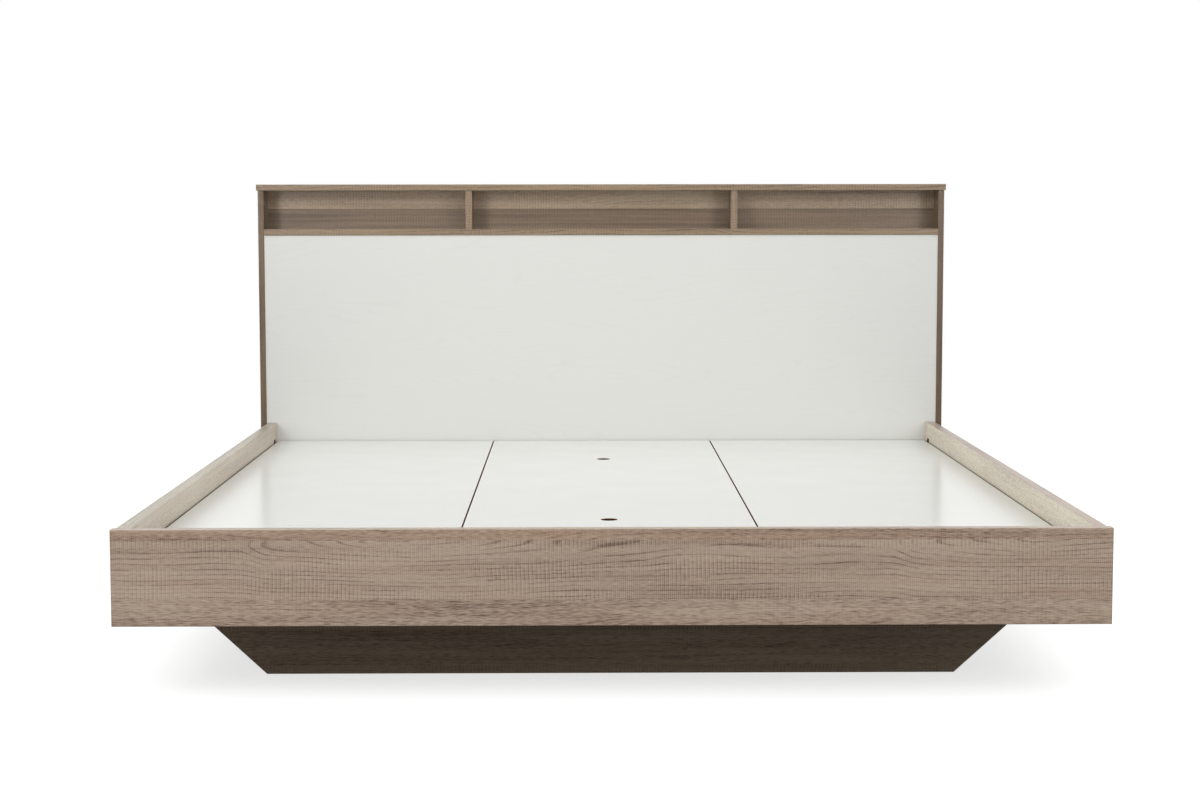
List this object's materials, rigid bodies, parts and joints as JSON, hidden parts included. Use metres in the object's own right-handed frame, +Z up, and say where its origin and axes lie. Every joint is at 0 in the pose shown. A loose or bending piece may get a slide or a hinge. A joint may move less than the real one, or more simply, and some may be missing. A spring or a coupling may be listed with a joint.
{
  "type": "double bed",
  "caption": "Double bed with a floating frame on a tapered plinth, a recessed board platform over a storage bay, and a headboard with a divided open shelf niche.",
  "frame": {"origin": "on the floor, at the middle of the bed's width and length", "axes": "+X to the right as seen from the foot, +Y from foot to head, +Z up"},
  "size_m": [1.902, 2.123, 0.985],
  "materials": {
    "oak_laminate": "taupe sawn-oak laminate, matt, fine saw marks across a horizontal grain",
    "white_laminate": "satin off-white laminate on board",
    "bare_board": "plain laminated board with raw chipboard edges",
    "pine": "planed pine",
    "hardboard": "brown hardboard",
    "beech": "fluted beech",
    "zinc": "die-cast zinc",
    "steel": "zinc-plated steel",
    "glide_plastic": "black nylon"
  },
  "bodies": {
    "bed_frame": {"back_panel_screws": "steel", "bracket_screws": "steel", "cam_bolts": "zinc", "cam_locks": "zinc", "floor_batten_left": "pine", "floor_batten_right": "pine", "foot_corner_brackets": "steel", "foot_ledger": "pine", "footboard": "oak_laminate", "head_ledger": "pine", "headboard_back_panel": "hardboard", "headboard_bottom_rail": "oak_laminate", "headboard_dowels": "beech", "headboard_front_panel": "white_laminate", "headboard_glides": "glide_plastic", "headboard_shelf": "oak_laminate", "headboard_side_left": "oak_laminate", "headboard_side_right": "oak_laminate", "headboard_top": "oak_laminate", "headboard_upright_left": "bare_board", "headboard_upright_right": "bare_board", "ledger_screws": "steel", "niche_back_panel": "oak_laminate", "niche_divider_left": "oak_laminate", "niche_divider_right": "oak_laminate", "platform_board_left": "white_laminate", "platform_board_right": "white_laminate", "platform_screws": "steel", "plinth_back": "oak_laminate", "plinth_corner_block_back_left": "pine", "plinth_corner_block_back_right": "pine", "plinth_corner_block_front_left": "pine", "plinth_corner_block_front_right": "pine", "plinth_front": "oak_laminate", "plinth_side_left": "oak_laminate", "plinth_side_right": "oak_laminate", "rail_bolts": "steel", "rail_end_block_left": "oak_laminate", "rail_end_block_right": "oak_laminate", "rail_tee_nuts": "steel", "side_ledger_left": "pine", "side_ledger_right": "pine", "side_rail_left": "oak_laminate", "side_rail_right": "oak_laminate", "soffit_board_foot": "bare_board", "soffit_board_head": "bare_board", "soffit_board_left": "bare_board", "soffit_board_right": "bare_board", "soffit_dowels": "beech", "soffit_screws": "steel", "storage_bay_dowels": "beech", "storage_end_board_foot": "bare_board", "storage_end_board_head": "bare_board", "storage_floor": "bare_board", "storage_partition_left": "bare_board", "storage_partition_right": "bare_board"},
    "lift_out_board": {"platform_board_middle": "white_laminate"}
  },
  "joints": [
    {"name": "middle_board_lift", "type": "slide", "parent": "bed_frame", "child": "lift_out_board", "axis": [0, 0, 1], "range_m": [0, 0.3]}
  ]
}
